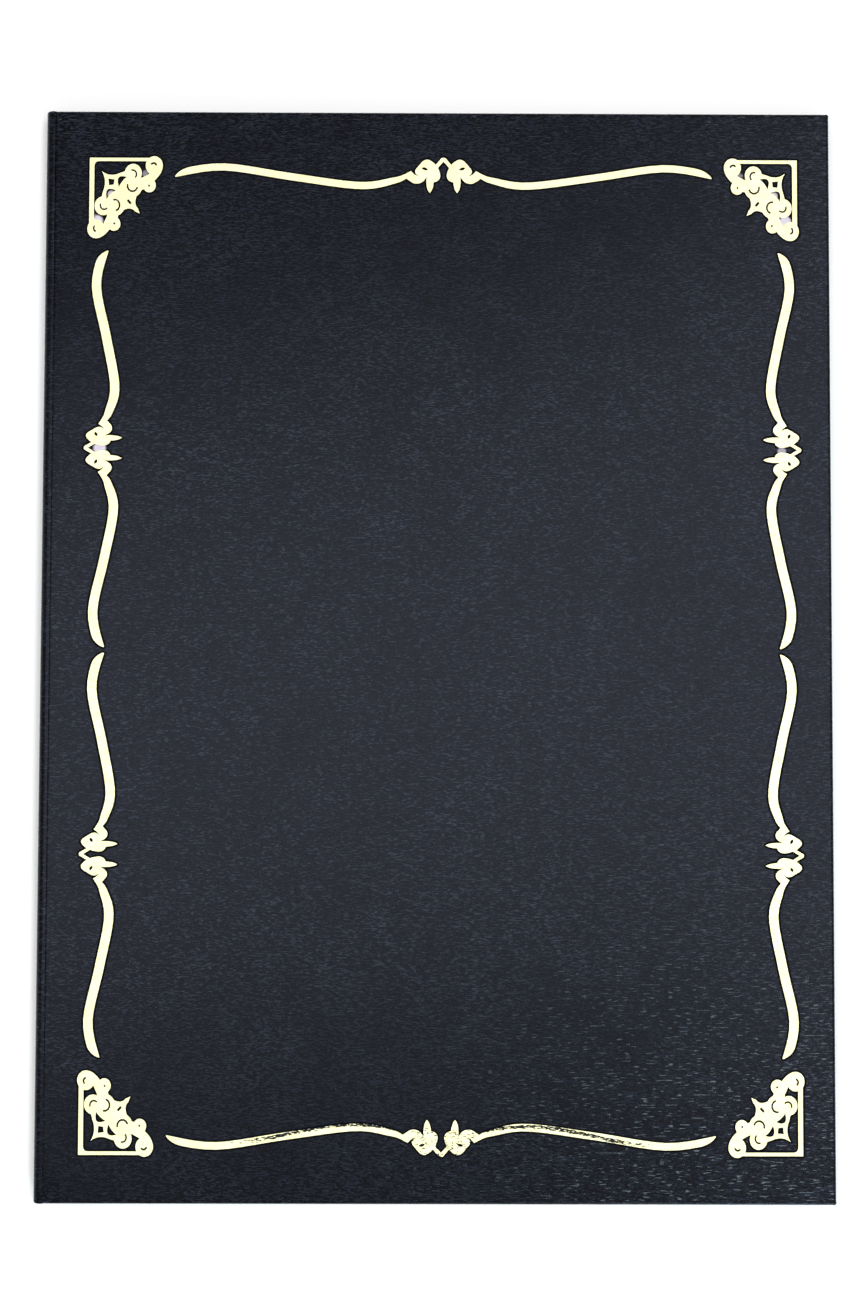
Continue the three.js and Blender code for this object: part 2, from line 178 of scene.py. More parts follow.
class HolderColours(bpy.types.PropertyGroup):
    """Colours of the holder's materials"""

    leatherette: colour("Leatherette", "Near-black navy", "0a0c12")
    # Painted highlight on the wrinkle tops, against painted shade in their valleys
    ridge_highlight: colour("Leatherette ridges", "Dark slate on the tops of the wrinkles", "2c313d")
    # Paler edges: rubbing and a painted highlight on the rolled edges
    scuff_and_highlight: colour("Scuffed edge", "Leatherette rubbed pale along its edges", "4a4c55")
    sheen: colour("Leatherette sheen", "Cool tint of the leatherette's reflections", "dce4ff")
    residue: colour("Foil film", "Lilac grey film that the foil left between scrolls", "cfc6d2")
    gold: colour("Gold foil", "Pale bright gold", "f2eec9")
    paper: colour("Lining paper", "Ivory", "e0d6bc")
    satin: colour("Satin ribbon", "Navy", "141c46")
    board: colour("Grey board", "Warm grey pulp", "8c867b")
    film: colour("Clear film", "Almost colourless", "f4f8f8")
    floor: colour("Floor", "Pale", "f6f6f6")


def add_node(tree, kind, inputs=None, **settings):
    """A new shader node with its settings, and its inputs linked to sockets or set to values."""
    node = tree.nodes.new("ShaderNode" + kind)
    for name, value in settings.items():
        setattr(node, name, value)
    for key, value in (inputs or {}).items():
        if isinstance(value, bpy.types.NodeSocket):
            tree.links.new(value, node.inputs[key])
        else:
            node.inputs[key].default_value = value
    return node


def shaded(name, build):
    """A material whose nodes build() makes: it takes the tree and returns the Principled inputs."""
    if name in bpy.data.materials:
        return bpy.data.materials[name]
    material = bpy.data.materials.new(name)
    material.use_nodes = True
    tree = material.node_tree
    tree.nodes.clear()
    surface = add_node(tree, "BsdfPrincipled", build(tree))
    add_node(tree, "OutputMaterial", {"Surface": surface.outputs[0]})
    return material


def spaced(*sizes):
    """Mapping scale for a pattern with features of these sizes in millimetres."""
    return tuple(1 / (size * MM) for size in sizes)


def waved(size):
    """Wave texture scale for bands this many millimetres apart: at 1 they lie pi / 10 apart."""
    return math.pi / 10 / (size * MM)


def opaque(rgb):
    return (*rgb, 1)


def leatherette_material(colours):
    """PVC leatherette, embossed: near-black navy with crosswise wrinkles and fine pores under a
    satin sheen, and short facets that glint in low light. Its colour carries a painted highlight on
    the wrinkle tops and painted shade in their valleys. It is duller where the stamp pressed it,
    and darker there both as pressed skin and as painted shade round the foil. It is paler where
    foil film left a trace, and along the edges both where rubbing wore it and as a painted
    highlight on the rolls."""

    def inputs(tree):
        place = add_node(tree, "Attribute", attribute_name="grain").outputs["Vector"]
        press = add_node(tree, "Attribute", attribute_name="press").outputs["Fac"]
        edge = add_node(tree, "Attribute", attribute_name="edge").outputs["Fac"]
        residue = add_node(tree, "Attribute", attribute_name="residue").outputs["Fac"]
        navy = colours.leatherette

        # Wrinkles 1.2 mm long and 0.34 mm wide
        long_way = add_node(
            tree, "Mapping", {"Vector": place, "Scale": spaced(1.2, 0.34, 1.2)},
        ).outputs[0]
        folds = add_node(
            tree, "TexNoise",
            {"Vector": long_way, "Scale": 1, "Detail": 1, "Roughness": 0.4, "Distortion": 0.3},
        ).outputs["Fac"]
        wrinkles = add_node(
            tree, "MapRange", {"Value": folds, "From Min": 0.5, "From Max": 0.6},
            interpolation_type="SMOOTHSTEP",
        ).outputs[0]
        # Real pores of about 0.15 mm are too fine to show, so they are drawn twice as coarse
        pore_way = add_node(
            tree, "Mapping", {"Vector": place, "Scale": spaced(0.42, 0.3, 0.42)},
        ).outputs[0]
        pores = add_node(
            tree, "TexNoise", {"Vector": pore_way, "Scale": 1, "Detail": 1},
        ).outputs["Fac"]
        height = add_node(
            tree, "Mix", {"Factor": 0.4, "A": wrinkles, "B": pores}, data_type="FLOAT",
        ).outputs[0]
        relief = add_node(
            tree, "MapRange", {"Value": press, "To Min": 1, "To Max": 0.3},
        ).outputs[0]
        bump = add_node(
            tree, "Bump", {"Height": height, "Distance": 0.03 * MM, "Strength": relief},
        ).outputs[0]

        # Facets 2.4 mm long and 0.36 mm wide that lean 20 degrees towards the tail
        dash_way = add_node(
            tree, "Mapping", {"Vector": place, "Scale": spaced(2.4, 0.36, 2.4)},
        ).outputs[0]
        dashes = add_node(
            tree, "TexNoise", {"Vector": dash_way, "Scale": 1, "Detail": 0},
        ).outputs["Fac"]
        facets = add_node(
            tree, "MapRange", {"Value": dashes, "From Min": 0.7, "From Max": 0.74, "To Max": 0.3},
            interpolation_type="SMOOTHSTEP",
        ).outputs[0]
        headward = add_node(tree, "SeparateXYZ", {0: place}).outputs["Y"]
        leaning = add_node(
            tree, "Bump", {"Height": headward, "Distance": math.tan(math.radians(20))},
        ).outputs[0]
        sunk = add_node(tree, "MapRange", {"Value": press, "To Min": 1, "To Max": 0}).outputs[0]
        glare = add_node(tree, "Math", {0: facets, 1: sunk}, operation="MULTIPLY").outputs[0]

        # Colour: painted highlight on the wrinkle tops and painted shade in their valleys, in
        # clouds of
        # 14 mm; rubbed patches of 0.9 mm at the edges, which are also a painted highlight on the
        # rolled edges; film on top
        cloud = add_node(
            tree, "TexNoise", {"Vector": place, "Scale": 1 / (14 * MM), "Detail": 3},
        ).outputs["Fac"]
        ridges = add_node(
            tree, "MapRange", {"Value": folds, "From Min": 0.46, "From Max": 0.7, "To Max": cloud},
        ).outputs[0]
        shade = add_node(
            tree, "Mix",
            {"Factor": ridges, "A": opaque([c * 0.1 for c in navy]), "B": opaque(colours.ridge_highlight)},
            data_type="RGBA",
        ).outputs["Result"]
        rubbing = add_node(
            tree, "TexNoise", {"Vector": place, "Scale": 1 / (0.9 * MM), "Detail": 2},
        ).outputs["Fac"]
        rubbed = add_node(
            tree, "MapRange", {"Value": rubbing, "From Min": 0.5, "From Max": 0.75, "To Max": 0.5},
        ).outputs[0]
        # Rubbing and a painted highlight along the rolled edges
        scuffs_and_edge_highlight = add_node(tree, "Math", {0: rubbed, 1: edge}, operation="MULTIPLY").outputs[0]
        worn = add_node(
            tree, "Mix", {"Factor": scuffs_and_edge_highlight, "A": shade, "B": opaque(colours.scuff_and_highlight)},
            data_type="RGBA",
        ).outputs["Result"]
        # Painted shade: near black in the sloped rim round the foil, where the recess falls in
        # shade; partly the darker finish of pressed skin
        painted_rim_shade = add_node(
            tree, "Mix", {"Factor": press, "A": worn, "B": opaque([c * 0.15 for c in navy])},
            data_type="RGBA",
        ).outputs["Result"]
        filmed = add_node(
            tree, "Mix", {"Factor": residue, "A": painted_rim_shade, "B": opaque(colours.residue)},
            data_type="RGBA",
        ).outputs["Result"]

        gloss = add_node(
            tree, "MapRange",
            {"Value": folds, "From Min": 0.4, "From Max": 0.6, "To Min": 0.32, "To Max": 0.16},
        ).outputs[0]
        matt = add_node(
            tree, "MapRange", {"Value": press, "To Min": gloss, "To Max": 0.95},
        ).outputs[0]
        return {
            "Base Color": filmed,
            "Roughness": matt,
            "Specular IOR Level": 0.14,
            "Specular Tint": opaque(colours.sheen),
            "Coat Weight": glare,
            "Coat Roughness": 0.27,
            "Coat Normal": leaning,
            "Normal": bump,
        }

    return shaded("leatherette_embossed_pvc", inputs)


def lining_material(colours):
    """Moire lining paper, embossed: ivory with watered bands that catch the light in turn."""

    def inputs(tree):
        place = add_node(tree, "TexCoord").outputs["Object"]
        # Bands 3.6 mm apart that drift over 26 mm, and ribs 0.5 mm apart across them
        drift = add_node(
            tree, "TexNoise", {"Vector": place, "Scale": 1 / (26 * MM), "Detail": 2},
        ).outputs["Color"]
        bent = add_node(
            tree, "VectorMath", {0: drift, 1: (0.011, 0.018, 0)}, operation="MULTIPLY",
        ).outputs[0]
        flow = add_node(tree, "VectorMath", {0: place, 1: bent}, operation="ADD").outputs[0]
        bands = add_node(
            tree, "TexWave",
            {
                "Vector": flow, "Scale": waved(3.6), "Distortion": 5,
                "Detail": 2, "Detail Scale": 0.4,
            },
            bands_direction="X",
        ).outputs["Fac"]
        ribs = add_node(
            tree, "TexWave", {"Vector": place, "Scale": waved(0.5), "Distortion": 0.4},
            bands_direction="Y",
        ).outputs["Fac"]
        paper = colours.paper
        tone = add_node(
            tree, "Mix",
            {"Factor": bands, "A": opaque([c * 0.89 for c in paper]), "B": opaque(paper)},
            data_type="RGBA",
        )
        gloss = add_node(tree, "MapRange", {"Value": bands, "To Min": 0.62, "To Max": 0.38})
        depth = add_node(tree, "Math", {0: ribs, 1: bands}, operation="MULTIPLY").outputs[0]
        bump = add_node(tree, "Bump", {"Height": depth, "Distance": 0.03 * MM, "Strength": 0.7})
        return {
            "Base Color": tone.outputs["Result"],
            "Roughness": gloss.outputs[0],
            "Specular IOR Level": 0.4,
            "Normal": bump.outputs[0],
        }

    return shaded("lining_paper_moire_embossed", inputs)


def foil_wear(tree, place):
    """Where the foil is gone: flecks above the wave and in the knot of the tail swag, and pinholes
    elsewhere."""
    axes = add_node(tree, "SeparateXYZ", {0: place})
    across, up = axes.outputs["X"], axes.outputs["Y"]
    off = add_node(
        tree, "Math", {0: across, 1: WAVE_MIDDLE * MM}, operation="SUBTRACT",
    ).outputs[0]
    side = add_node(tree, "Math", {0: off}, operation="ABSOLUTE").outputs[0]

    # Height above the middle of the foil's wave, a little less on the spine side of the knot
    phase = add_node(
        tree, "MapRange",
        {
            "Value": side, "From Min": WAVE_CREST * MM, "From Max": WAVE_TROUGH * MM,
            "To Max": math.pi,
        },
        clamp=False,
    ).outputs[0]
    wave = add_node(tree, "Math", {0: phase}, operation="COSINE").outputs[0]
    middle = add_node(
        tree, "Math", {0: wave, 1: WAVE_RISE * MM, 2: WAVE_LEVEL * MM}, operation="MULTIPLY_ADD",
    ).outputs[0]
    above = add_node(tree, "Math", {0: up, 1: middle}, operation="SUBTRACT").outputs[0]
    drop = add_node(
        tree, "MapRange",
        {"Value": off, "From Min": -1 * MM, "From Max": 1 * MM, "To Min": -0.5 * MM, "To Max": 0},
    ).outputs[0]
    level = add_node(tree, "Math", {0: above, 1: drop}, operation="ADD").outputs[0]

    # The rubbed band lies on the upper side of the wave, from past the knot to near its end
    risen = add_node(
        tree, "MapRange", {"Value": level, "From Min": -0.7 * MM, "From Max": -0.1 * MM},
    ).outputs[0]
    upper = add_node(
        tree, "MapRange",
        {"Value": level, "From Min": 0.9 * MM, "From Max": 0.6 * MM, "To Max": risen},
    ).outputs[0]
    reach = add_node(
        tree, "MapRange", {"Value": side, "From Min": 64 * MM, "From Max": 50 * MM},
    ).outputs[0]
    past_knot = add_node(
        tree, "MapRange", {"Value": side, "From Min": 10 * MM, "From Max": 13 * MM},
    ).outputs[0]
    along = add_node(tree, "Math", {0: reach, 1: past_knot}, operation="MULTIPLY").outputs[0]
    band = add_node(tree, "Math", {0: upper, 1: along}, operation="MULTIPLY").outputs[0]

    # The knot is rubbed in its lower part, and no other swag or corner is
    low_down = add_node(
        tree, "MapRange",
        {"Value": up, "From Min": -131 * MM, "From Max": -133 * MM, "To Max": 0.46},
    ).outputs[0]
    knot = add_node(
        tree, "MapRange",
        {"Value": side, "From Min": 11 * MM, "From Max": 9 * MM, "To Max": low_down},
    ).outputs[0]
    either = add_node(tree, "Math", {0: band, 1: knot}, operation="MAXIMUM").outputs[0]
    tail = add_node(
        tree, "MapRange", {"Value": up, "From Min": -124 * MM, "From Max": -126 * MM},
    ).outputs[0]
    mask = add_node(tree, "Math", {0: either, 1: tail}, operation="MULTIPLY").outputs[0]

    # Flecks 0.9 mm long and 0.3 mm wide, of which the highest alone are pinholes elsewhere
    fleck_way = add_node(
        tree, "Mapping", {"Vector": place, "Scale": spaced(0.9, 0.3, 0.9)},
    ).outputs[0]
    flecks = add_node(
        tree, "TexNoise", {"Vector": fleck_way, "Scale": 1, "Detail": 2},
    ).outputs["Fac"]
    reached = add_node(
        tree, "Math", {0: mask, 1: 0.35, 2: flecks}, operation="MULTIPLY_ADD",
    ).outputs[0]
    return add_node(
        tree, "MapRange", {"Value": reached, "From Min": 0.74, "From Max": 0.79},
    ).outputs[0]


def foil_material(colours):
    """Gold hot-stamping foil: bright pale gold that takes up the grain below it, with pinholes, and
    rubbed through to the leatherette along the upper side of the tail swag."""

    def inputs(tree):
        place = add_node(tree, "TexCoord").outputs["Object"]
        # Grain 1.6 mm long and 0.5 mm wide, in paler and deeper patches of 4 mm
        grain_way = add_node(
            tree, "Mapping", {"Vector": place, "Scale": spaced(1.6, 0.5, 1.6)},
        ).outputs[0]
        grain = add_node(
            tree, "TexNoise", {"Vector": grain_way, "Scale": 1, "Detail": 2},
        ).outputs["Fac"]
        bump = add_node(tree, "Bump", {"Height": grain, "Distance": 0.03 * MM, "Strength": 0.5})
        gloss = add_node(
            tree, "MapRange",
            {"Value": grain, "From Min": 0.3, "From Max": 0.7, "To Min": 0.52, "To Max": 0.68},
        )
        patches = add_node(
            tree, "TexNoise", {"Vector": place, "Scale": 1 / (4 * MM), "Detail": 2},
        ).outputs["Fac"]
        paler = add_node(
            tree, "MapRange", {"Value": patches, "From Min": 0.35, "From Max": 0.65},
        ).outputs[0]
        gold = colours.gold
        deeper = opaque([gold[0], gold[1] * 0.98, gold[2] * 0.88])
        tone = add_node(
            tree, "Mix", {"Factor": paler, "A": deeper, "B": opaque(gold)}, data_type="RGBA",
        ).outputs["Result"]
        rubbed = foil_wear(tree, place)
        worn = add_node(
            tree, "Mix", {"Factor": rubbed, "A": tone, "B": opaque(colours.leatherette)},
            data_type="RGBA",
        ).outputs["Result"]
        metal = add_node(tree, "MapRange", {"Value": rubbed, "To Min": 1, "To Max": 0}).outputs[0]
        return {
            "Base Color": worn,
            "Metallic": metal,
            "Roughness": gloss.outputs[0],
            "Specular IOR Level": 0.17,
            "Normal": bump.outputs[0],
        }

    return shaded("gold_foil_hot_stamped", inputs)


def satin_material(colours):
    """Woven satin ribbon: navy with fine crosswise threads, slubs and a soft sheen."""

    def inputs(tree):
        across = add_node(tree, "Attribute", attribute_name="weave").outputs["Vector"]
        # Real threads of about 0.1 mm are too fine to show, so they are drawn 0.3 mm apart
        threads = add_node(
            tree, "TexWave", {"Vector": across, "Scale": waved(0.3), "Distortion": 0.6},
            bands_direction="X",
        ).outputs["Fac"]
        slubs = add_node(
            tree, "TexNoise", {"Vector": across, "Scale": 1 / (1.5 * MM), "Detail": 2},
        ).outputs["Fac"]
        deep, pale = (opaque([c * share for c in colours.satin]) for share in (0.7, 1.4))
        tone = add_node(tree, "Mix", {"Factor": slubs, "A": deep, "B": pale}, data_type="RGBA")
        gloss = add_node(
            tree, "MapRange",
            {"Value": slubs, "From Min": 0.3, "From Max": 0.7, "To Min": 0.3, "To Max": 0.45},
        )
        bump = add_node(tree, "Bump", {"Height": threads, "Distance": 0.02 * MM, "Strength": 0.8})
        return {
            "Base Color": tone.outputs["Result"],
            "Roughness": gloss.outputs[0],
            "Sheen Weight": 0.1,
            "Normal": bump.outputs[0],
        }

    return shaded("satin_ribbon_woven", inputs)


def board_material(colours):
    """Grey board, pressed from pulp: warm grey with flecks of fibre."""

    def inputs(tree):
        place = add_node(tree, "TexCoord").outputs["Object"]
        pulp = add_node(
            tree, "TexNoise",
            {"Vector": place, "Scale": 1 / (1.8 * MM), "Detail": 5, "Roughness": 0.7},
        ).outputs["Fac"]
        deep = opaque([c * 0.6 for c in colours.board])
        pale = opaque([min(1, c * 1.35) for c in colours.board])
        tone = add_node(tree, "Mix", {"Factor": pulp, "A": deep, "B": pale}, data_type="RGBA")
        bump = add_node(tree, "Bump", {"Height": pulp, "Distance": 0.05 * MM, "Strength": 0.5})
        return {
            "Base Color": tone.outputs["Result"],
            "Roughness": 0.95,
            "Normal": bump.outputs[0],
        }

    return shaded("grey_board_pressed_pulp", inputs)


def film_material(colours):
    """Clear film, extruded: nearly colourless gloss with a slight ripple in its reflections."""

    def inputs(tree):
        place = add_node(tree, "TexCoord").outputs["Object"]
        ripple = add_node(
            tree, "TexNoise", {"Vector": place, "Scale": 1 / (35 * MM), "Detail": 1},
        ).outputs["Fac"]
        bump = add_node(tree, "Bump", {"Height": ripple, "Distance": 0.4 * MM, "Strength": 0.5})
        return {
            "Base Color": opaque(colours.film),
            "Roughness": 0.06,
            "IOR": 1.49,
            "Specular IOR Level": 1,
            "Alpha": 0.12,
            "Normal": bump.outputs[0],
        }

    return shaded("clear_film_extruded", inputs)


def floor_material(colours):
    """Matt painted board for the floor: pale, even, and white to the eye away from the holder."""

    def inputs(tree):
        place = add_node(tree, "TexCoord").outputs["Object"]
        away = add_node(tree, "VectorMath", {0: place}, operation="LENGTH").outputs["Value"]
        rays = add_node(tree, "LightPath").outputs
        seen = add_node(
            tree, "Math", {0: rays["Is Camera Ray"], 1: rays["Is Glossy Ray"]},
            operation="MAXIMUM",
        ).outputs[0]
        shown = add_node(
            tree, "Math", {0: seen, 1: rays["Is Transmission Ray"]}, operation="MAXIMUM",
        ).outputs[0]
        glow = add_node(
            tree, "MapRange",
            {"Value": away, "From Min": 500 * MM, "From Max": 1500 * MM, "To Max": shown},
            interpolation_type="SMOOTHSTEP",
        ).outputs[0]
        return {
            "Base Color": opaque(colours.floor),
            "Roughness": 0.9,
            "Specular IOR Level": 0.1,
            "Emission Color": (1, 1, 1, 1),
            "Emission Strength": glow,
        }

    return shaded("floor_matt_paint", inputs)


class Shape:
    """Points and faces of a piece while it is made, in millimetres. Points at one place are one."""

    def __init__(self):
        self.points, self.faces, self.marks, self.places = [], [], {}, {}

    def point(self, x, y, z, **marks):
        key = tuple(round(c, MERGE_DIGITS) for c in (x, y, z))
        if key not in self.places:
            self.places[key] = len(self.points)
            self.points.append((x, y, z))
            for name, value in marks.items():
                self.marks.setdefault(name, {})[self.places[key]] = value
        return self.places[key]

    def face(self, corners):
        kept = [c for at, c in enumerate(corners) if c != corners[at - 1]]
        if len(set(kept)) == len(kept) > 2:
            self.faces.append(kept)

    def strip(self, first, second, flip=False):
        """Quads from one row of points to the next."""
        for at in range(len(first) - 1):
            quad = [second[at], second[at + 1], first[at + 1], first[at]]
            self.face(quad[::-1] if flip else quad)

    def piece(self, name, material, slot):
        mesh = bpy.data.meshes.new(name)
        mesh.from_pydata([[c * MM for c in p] for p in self.points], [], self.faces)
        mesh.validate()
        mesh.shade_smooth()
        for mark, values in self.marks.items():
            flat = isinstance(next(iter(values.values())), (int, float))
            attribute = mesh.attributes.new(mark, "FLOAT" if flat else "FLOAT_VECTOR", "POINT")
            for at, value in values.items():
                setattr(attribute.data[at], "value" if flat else "vector", value)
        mesh.materials.append(material)
        piece = bpy.data.objects.new(name, mesh)
        bpy.context.collection.objects.link(piece)
        return piece


def places_of(mesh):
    """The places of a mesh's points, in millimetres."""
    return np.array([v.co for v in mesh.vertices]) / MM


def mark_points(piece, name, values):
    """Gives each point of a piece a number for its material."""
    attribute = piece.data.attributes.new(name, "FLOAT", "POINT")
    attribute.data.foreach_set("value", values.astype(np.float32))


def rest_grain(piece):
    """Keeps each point's place at rest, so that the grain stays on the skin when it bends."""
    places = np.empty(len(piece.data.vertices) * 3, np.float32)
    piece.data.vertices.foreach_get("co", places)
    grain = piece.data.attributes.new("grain", "FLOAT_VECTOR", "POINT")
    grain.data.foreach_set("vector", places)


def eased(value, low, high):
    """0 below low, 1 above high and a smooth step between them."""
    share = np.clip((np.asarray(value, float) - low) / (high - low), 0, 1)
    return share * share * (3 - 2 * share)


def groove_share(y):
    """How much of the hinge groove is left at y: sharp near the head, rubbed out lower down."""
    return GROOVE_LEFT + (1 - GROOVE_LEFT) * float(eased(y, *GROOVE_GROWS))


def box_of(node):
    """The low and high corners of a solid, in millimetres."""
    low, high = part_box(node)
    return np.array(low) / MM, np.array(high) / MM


def top_edges(node):
    """Start and end points of the edges round a flat solid's top face, the solid on their left."""
    near_top, digits = 0.01, 3
    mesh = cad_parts[node].data
    places = places_of(mesh)
    top = places[:, 2].max()
    keys = [tuple(np.round(p[:2], digits)) for p in places]
    found = set()
    for polygon in mesh.polygons:
        corners = list(polygon.vertices)
        if all(places[c][2] > top - near_top for c in corners):
            found.update((keys[a], keys[b]) for a, b in zip(corners, corners[1:] + corners[:1]))
    return np.array([edge for edge in found if edge[::-1] not in found and edge[0] != edge[1]])


def distance_to(edges, points):
    """Distance of each point from the nearest of the edges."""
    batch = 2000
    start, run = edges[:, 0], edges[:, 1] - edges[:, 0]
    square = (run ** 2).sum(1)
    nearest = np.empty(len(points))
    for at in range(0, len(points), batch):
        away = points[at:at + batch, None] - start
        share = np.clip((away * run).sum(2) / square, 0, 1)
        nearest[at:at + batch] = np.linalg.norm(away - share[..., None] * run, axis=2).min(1)
    return nearest


def rim_points(edges, offsets, spacing):
    """Points in rows along the outside of the edges, and their distances from the nearest edge."""
    least_outward, least_away = 0.2, 0.97  # below these a corner folds back, or a row meets another
    start, end = edges[:, 0], edges[:, 1]
    run = end - start
    size = np.linalg.norm(run, axis=1)
    outward = np.stack([run[:, 1], -run[:, 0]], 1) / size[:, None]
    places, normals, corners = [], [], {}
    for at in range(len(edges)):
        count = max(1, math.ceil(size[at] / spacing))
        for step in range(count):
            places.append(start[at] + run[at] * (step + 0.5) / count)
            normals.append(outward[at])
        for end_point in (start[at], end[at]):
            corners.setdefault(tuple(end_point), []).append(outward[at])
    for place, sides in corners.items():
        mean = np.sum(sides, 0)
        if np.linalg.norm(mean) > least_outward:
            places.append(np.array(place))
            normals.append(mean / np.linalg.norm(mean))
    places, normals = np.array(places), np.array(normals)
    rows, depths = [places], [np.zeros(len(places))]
    for offset in offsets:
        row = places + normals * offset
        away = distance_to(edges, row)
        clear = away > least_away * offset
        rows.append(row[clear])
        depths.append(away[clear])
    return np.concatenate(rows), np.concatenate(depths)


class Cover:
    """The leatherette of one cover: a face, rolled over three edges of the board and turned in
    behind it. outer and inner are the levels of the face and of the turn-ins."""

    def __init__(self, node, sizes, outer, inner):
        low, high = box_of(node)
        self.fore, self.head = high[0], high[1]
        self.left = low[0] + FACE_START
        self.roll, self.turn_in = sizes.edge_roll / MM, sizes.turn_in / MM
        self.inner_roll, self.corner = sizes.inner_roll / MM, sizes.corner / MM
        self.groove, self.flat_rim = sizes.groove / MM, sizes.flat_rim / MM
        self.skin = sizes.cover_skin / MM
        self.outer, self.inner, self.total = outer, inner, abs(outer - inner)
        self.flip = outer < inner
        self.down = -1 if self.flip else 1
        self.shape = Shape()

    def build(self, name, material, relief=None):
        """Makes the piece, with the stamped relief if there is one."""
        rim, side = self.rim()
        rim_made, side_made = self.fill(rim, side, relief)
        rows = self.roll_over(rim, rim_made)
        self.run_to_spine(rows, side_made)
        piece = self.shape.piece(name, material, "leatherette")
        rest_grain(piece)
        places = places_of(piece.data)
        inset = np.minimum(self.fore - places[:, 0], self.head - np.abs(places[:, 1]))
        # Edge mark: paler towards each rolled edge, as rubbing and as a painted highlight
        mark_points(piece, "edge", 1 - eased(inset, *SCUFF_AND_HIGHLIGHT_ZONE))
        solid = piece.modifiers.new("Thickness", "SOLIDIFY")
        solid.thickness, solid.offset = self.skin * MM, -1
        return piece

    def rim(self):
        """Points round the flat face with their outward directions, from the tail of the spine side
        to its head, and the points along the spine side."""
        right, top, corner = self.fore - self.roll, self.head - self.roll, self.corner
        across = np.linspace(self.left, right - corner, round((right - self.left) / RIM_SPACING))
        count = round(2 * top / RIM_SPACING)
        up = np.linspace(corner - top, top - corner, count)
        turn = np.linspace(0, math.pi / 2, 7)

        def rounded(centre, ways):
            """A corner of the face, which the folded skin fills out until it is nearly square."""
            fills = [1 + CORNER_FILL * math.sin(2 * a) for a in turn]
            return [
                ((right - corner + corner * x, centre + corner * y), (x * fill, y * fill))
                for (x, y), fill in zip(ways, fills)
            ]

        points = [((x, -top), (0, -1)) for x in across[:-1]]
        points += rounded(corner - top, [(math.sin(a), -math.cos(a)) for a in turn])
        points += [((right, y), (1, 0)) for y in up[1:-1]]
        points += rounded(top - corner, [(math.cos(a), math.sin(a)) for a in turn])
        points += [((x, top), (0, 1)) for x in across[-2::-1]]
        return points, [(self.left, y) for y in np.linspace(-top, top, count)[1:-1]]

    def fill(self, rim, side, relief):
        """Fills the face with triangles, and returns its points on the rim and the spine side."""
        flat = np.array([p for p, _ in rim] + side)
        xs = np.arange(self.left + GRID_START, self.fore - GRID_END, GRID_STEP)
        ys = np.arange(GRID_START - self.head, self.head - GRID_END, GRID_STEP)
        grid = np.array([(x, y) for x in xs for y in ys])
        inside = np.array([np.subtract(p, np.multiply(n, self.flat_rim)) for p, n in rim])
        grid = np.concatenate([grid, inside[inside[:, 0] > self.left + SPINE_MARGIN]])
        if relief is None:
            places = np.concatenate([flat, grid])
            depth = mark = np.zeros(len(places))
        else:
            stamped, sunk, pressed, edges = relief
            grid = grid[distance_to(edges, grid) > FOIL_CLEARANCE]
            level = np.zeros(len(flat) + len(grid))
            places = np.concatenate([flat, grid, stamped])
            depth, mark = np.concatenate([level, sunk]), np.concatenate([level, pressed])
        outline = [*range(len(rim)), *range(len(flat) - 1, len(rim) - 1, -1)]
        loop = [(outline[at - 1], outline[at]) for at in range(len(outline))]
        found = delaunay_2d_cdt([Vector(p) for p in places], loop, [], 0, 1e-4)
        corners, triangles, sources = found[0], found[2], found[3]
        index, made_from = [], {}
        for place, given in zip(corners, sources):
            level = self.outer - self.down * depth[given[0]]
            made = self.shape.point(place[0], place[1], level, press=float(mark[given[0]]))
            index.append(made)
            made_from.update(dict.fromkeys(given, made))
        for triangle in triangles:
            turned = [index[c] for c in triangle]
            self.shape.face(turned[::-1] if self.flip else turned)
        made = [made_from[at] for at in range(len(flat))]
        return made[:len(rim)], made[len(rim):]

    def profile(self):
        """Outward offset and depth of each ring over the edge, down to the turn-in."""
        rings = []
        for angle in np.linspace(0, math.pi / 2, 6)[1:]:
            rings.append((self.roll * math.sin(angle), self.roll * (1 - math.cos(angle))))
        for angle in np.linspace(0, math.pi / 2, 5):
            rings.append((
                self.roll - self.inner_roll * (1 - math.cos(angle)),
                self.total - self.inner_roll * (1 - math.sin(angle)),
            ))
        return rings

    def roll_over(self, rim, first):
        """Rolls the skin over the edges and turns it in, and returns its rows of points."""
        rows = [first]
        for offset, depth in self.profile():
            level = self.outer - self.down * depth
            rows.append([
                self.shape.point(p[0] + n[0] * offset, p[1] + n[1] * offset, level) for p, n in rim
            ])
        far_x, far_y = self.fore - self.turn_in, self.head - self.turn_in
        rows.append([
            self.shape.point(min(p[0], far_x), max(min(p[1], far_y), -far_y), self.inner)
            for p, _ in rim
        ])
        for one, other in zip(rows, rows[1:]):
            self.shape.strip(one, other, self.flip)
        return rows

    def run_to_spine(self, rows, side):
        """The face runs on into the hinge groove, and its two ends roll in with it."""
        shape = self.shape
        line = [row[0] for row in rows[-2::-1]] + side + [row[-1] for row in rows[:-1]]
        before = line
        for share in np.linspace(0, 1, 5)[1:]:
            after = []
            for at in line:
                x, y, z = shape.points[at]
                kept = max(0, 1 - abs(z - self.outer) / self.total)
                drop = self.groove * groove_share(y) * share ** 2 * kept
                after.append(shape.point(x - GROOVE_RUN * share, y, z - self.down * drop))
            shape.strip(after, before, self.flip)
            before = after


